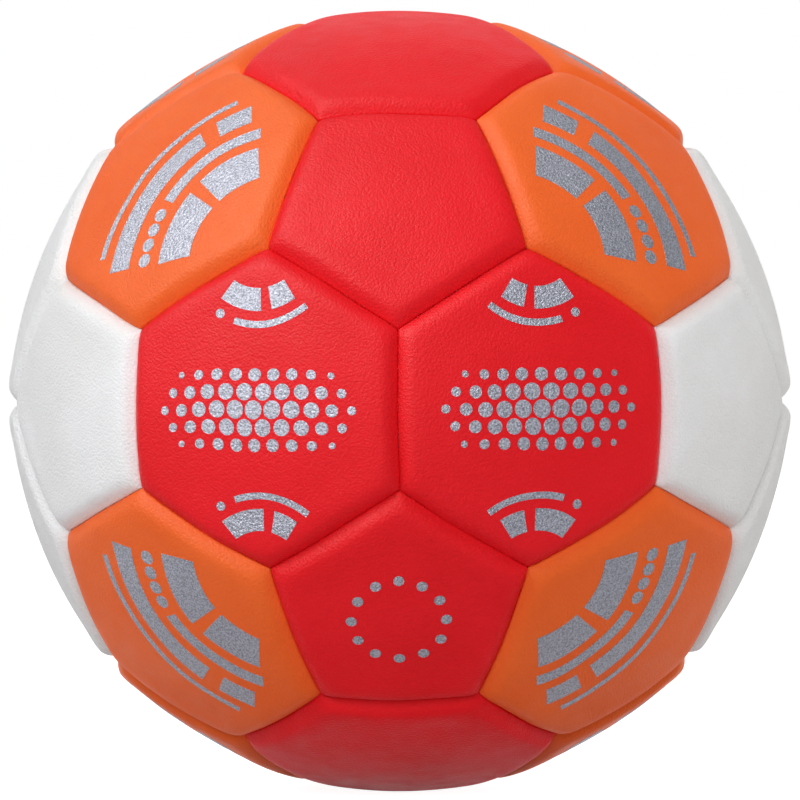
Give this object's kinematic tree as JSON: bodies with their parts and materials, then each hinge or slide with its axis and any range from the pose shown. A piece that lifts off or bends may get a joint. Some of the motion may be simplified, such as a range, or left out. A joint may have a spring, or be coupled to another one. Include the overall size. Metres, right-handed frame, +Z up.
{
  "type": "handball",
  "caption": "Inflatable handball with domed, stitched leather-look panels over foam, lining, a rubber bladder and a needle valve; rests, rolls and is inflated through the valve.",
  "frame": {"origin": "the centre of the ball", "axes": "+Z up, -Y the front that the picture shows, +X to the right seen from the front; each axis comes out through the middle of a seam between two hexagons"},
  "size_m": [0.1874, 0.1874, 0.1874],
  "materials": {
    "red_cover": "red printed synthetic leather with a fine matte grain",
    "orange_cover": "orange printed synthetic leather with a fine matte grain",
    "white_cover": "white synthetic leather with a fine matte grain",
    "silver_print": "silver foil print on the grain of the synthetic leather",
    "foam": "closed-cell foam, fine open pores on its cut faces",
    "lining": "laminated plain-woven cotton and polyester lining",
    "thread": "waxed polyester sewing thread",
    "bladder": "moulded rubber with a dull bloom",
    "patch": "dull moulded rubber",
    "valve": "smooth moulded rubber",
    "valve_core": "soft self-sealing rubber with a film of silicone oil",
    "backing_cloth": "thin plain-woven cloth"
  },
  "bodies": {
    "root": {"front_left_hexagon": "red_cover", "front_right_hexagon": "red_cover", "back_left_hexagon": "red_cover", "back_right_hexagon": "red_cover", "top_front_hexagon": "red_cover", "top_back_hexagon": "red_cover", "bottom_front_hexagon": "red_cover", "bottom_back_hexagon": "red_cover", "front_upper_pentagon": "red_cover", "front_lower_pentagon": "red_cover", "back_upper_pentagon": "red_cover", "back_lower_pentagon": "red_cover", "front_upper_left_hexagon": "orange_cover", "front_upper_right_hexagon": "orange_cover", "front_lower_left_hexagon": "orange_cover", "front_lower_right_hexagon": "orange_cover", "back_upper_left_hexagon": "orange_cover", "back_upper_right_hexagon": "orange_cover", "back_lower_left_hexagon": "orange_cover", "back_lower_right_hexagon": "orange_cover", "top_left_pentagon": "orange_cover", "top_right_pentagon": "orange_cover", "bottom_left_pentagon": "orange_cover", "bottom_right_pentagon": "orange_cover", "left_upper_hexagon": "white_cover", "left_lower_hexagon": "white_cover", "right_upper_hexagon": "white_cover", "right_lower_hexagon": "white_cover", "left_front_pentagon": "white_cover", "left_back_pentagon": "white_cover", "right_front_pentagon": "white_cover", "right_back_pentagon": "white_cover", "red_hexagon_foam_pads": "foam", "red_pentagon_foam_pads": "foam", "orange_hexagon_foam_pads": "foam", "orange_pentagon_foam_pads": "foam", "white_hexagon_foam_pads": "foam", "white_pentagon_foam_pads": "foam", "valve_foam_pad": "foam", "red_hexagon_linings": "lining", "red_pentagon_linings": "lining", "orange_hexagon_linings": "lining", "orange_pentagon_linings": "lining", "white_hexagon_linings": "lining", "white_pentagon_linings": "lining", "valve_lining": "lining", "hexagon_seam_threads": "thread", "pentagon_seam_threads": "thread", "bladder": "bladder", "balance_patch": "patch", "valve_body": "valve", "valve_core": "valve_core", "valve_backing": "backing_cloth"}
  },
  "joints": []
}
